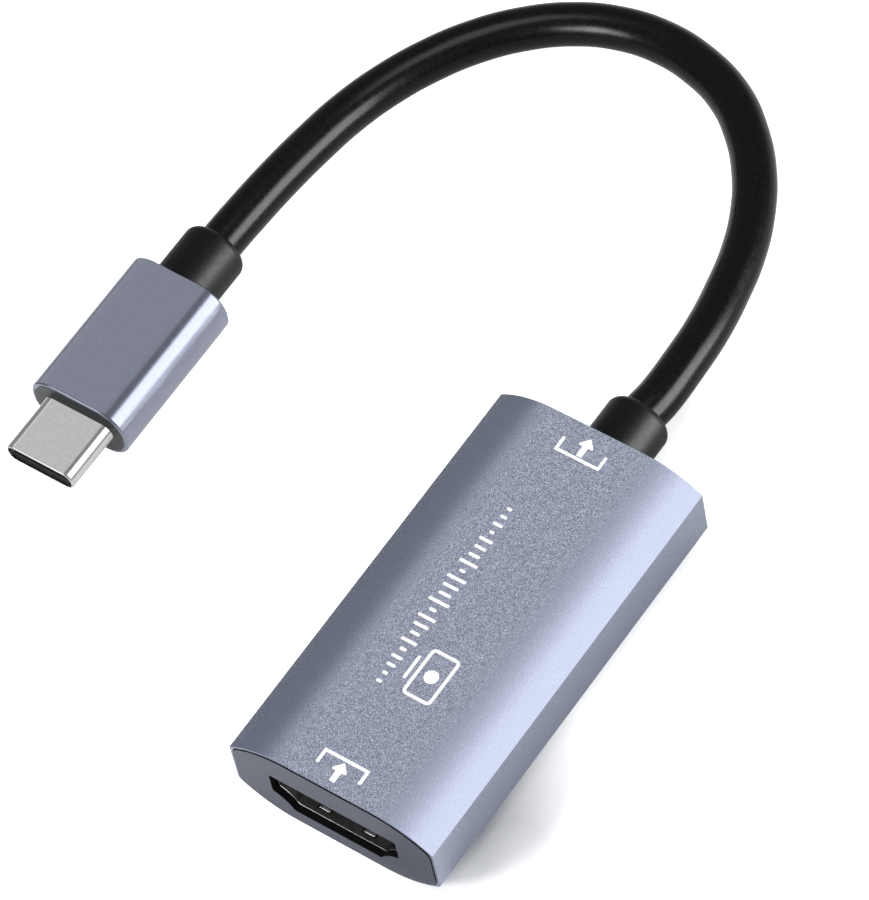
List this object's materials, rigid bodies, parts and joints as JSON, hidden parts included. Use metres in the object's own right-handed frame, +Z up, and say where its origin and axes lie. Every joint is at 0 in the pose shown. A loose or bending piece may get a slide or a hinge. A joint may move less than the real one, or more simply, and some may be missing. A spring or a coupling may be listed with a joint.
{
  "type": "video capture box",
  "caption": "Slim crowned aluminium capture box with a video socket in one end and a short captive cable with a flat reversible plug at the other.",
  "frame": {"origin": "on the table, under the middle of the box", "axes": "+X across the box, +Y from the socket to the cable, +Z up"},
  "size_m": [0.0664, 0.095, 0.0106],
  "materials": {
    "blasted_aluminium": "bead-blasted and anodised, blue-grey",
    "satin_aluminium": "satin, anodised, blue-grey",
    "end_plate": "matt, moulded",
    "board": "solder mask over glass fibre",
    "socket_metal": "nickel plated",
    "spring_steel": "nickel plated spring sheet",
    "plug_steel": "drawn steel, bright nickel",
    "black_plastic": "black, moulded",
    "gold_contact": "gold plated",
    "chip_resin": "moulded epoxy",
    "crystal_can": "drawn can",
    "ferrite": "pressed ferrite",
    "ceramic": "sintered",
    "resistor_film": "lacquered film",
    "relief_rubber": "satin, moulded",
    "cable_jacket": "satin, extruded",
    "wire_cover": "extruded insulation"
  },
  "bodies": {
    "capture_box": {"shell": "blasted_aluminium", "front_plate": "end_plate", "rear_plate": "end_plate", "main_board": "board", "socket_shell": "socket_metal", "socket_insulator": "black_plastic", "socket_contacts": "gold_contact", "capture_chip": "chip_resin", "memory_chip": "chip_resin", "regulator": "chip_resin", "crystal": "crystal_can", "power_inductor": "ferrite", "capacitors": "ceramic", "resistors": "resistor_film", "box_relief": "relief_rubber", "box_cable_end": "cable_jacket", "box_wires": "wire_cover", "cable": "cable_jacket", "plug_relief": "relief_rubber", "plug_cable_end": "cable_jacket", "plug_wires": "wire_cover", "plug_housing": "satin_aluminium", "plug_core": "black_plastic", "plug_board": "board", "plug_board_parts": "resistor_film", "plug_shell": "plug_steel", "plug_insulator": "black_plastic", "plug_contacts_upper": "gold_contact", "plug_contacts_lower": "gold_contact"},
    "upper_left_spring": {"socket_spring_upper_left": "spring_steel"},
    "upper_right_spring": {"socket_spring_upper_right": "spring_steel"},
    "lower_left_spring": {"socket_spring_lower_left": "spring_steel"},
    "lower_right_spring": {"socket_spring_lower_right": "spring_steel"},
    "left_latch": {"plug_latch_left": "spring_steel"},
    "right_latch": {"plug_latch_right": "spring_steel"}
  },
  "joints": [
    {"name": "upper_left_spring_bend", "type": "hinge", "parent": "capture_box", "child": "upper_left_spring", "pos_m": [-0.0026, -0.0168, 0.0069], "axis": [-1, 0, 0], "range_deg": [0, 6], "stiffness_Nm_per_rad": 0.06},
    {"name": "upper_right_spring_bend", "type": "hinge", "parent": "capture_box", "child": "upper_right_spring", "pos_m": [0.0026, -0.0168, 0.0069], "axis": [-1, 0, 0], "range_deg": [0, 6], "stiffness_Nm_per_rad": 0.06},
    {"name": "lower_left_spring_bend", "type": "hinge", "parent": "capture_box", "child": "lower_left_spring", "pos_m": [-0.0026, -0.0168, 0.0021], "axis": [1, 0, 0], "range_deg": [0, 6], "stiffness_Nm_per_rad": 0.06},
    {"name": "lower_right_spring_bend", "type": "hinge", "parent": "capture_box", "child": "lower_right_spring", "pos_m": [0.0026, -0.0168, 0.0021], "axis": [1, 0, 0], "range_deg": [0, 6], "stiffness_Nm_per_rad": 0.06},
    {"name": "left_latch_bend", "type": "hinge", "parent": "capture_box", "child": "left_latch", "pos_m": [-0.05249, 0.001, 0.0035], "axis": [0, 0, -1], "range_deg": [0, 3], "stiffness_Nm_per_rad": 0.02},
    {"name": "right_latch_bend", "type": "hinge", "parent": "capture_box", "child": "right_latch", "pos_m": [-0.0453, 0.001, 0.0035], "axis": [0, 0, 1], "range_deg": [0, 3], "stiffness_Nm_per_rad": 0.02}
  ]
}
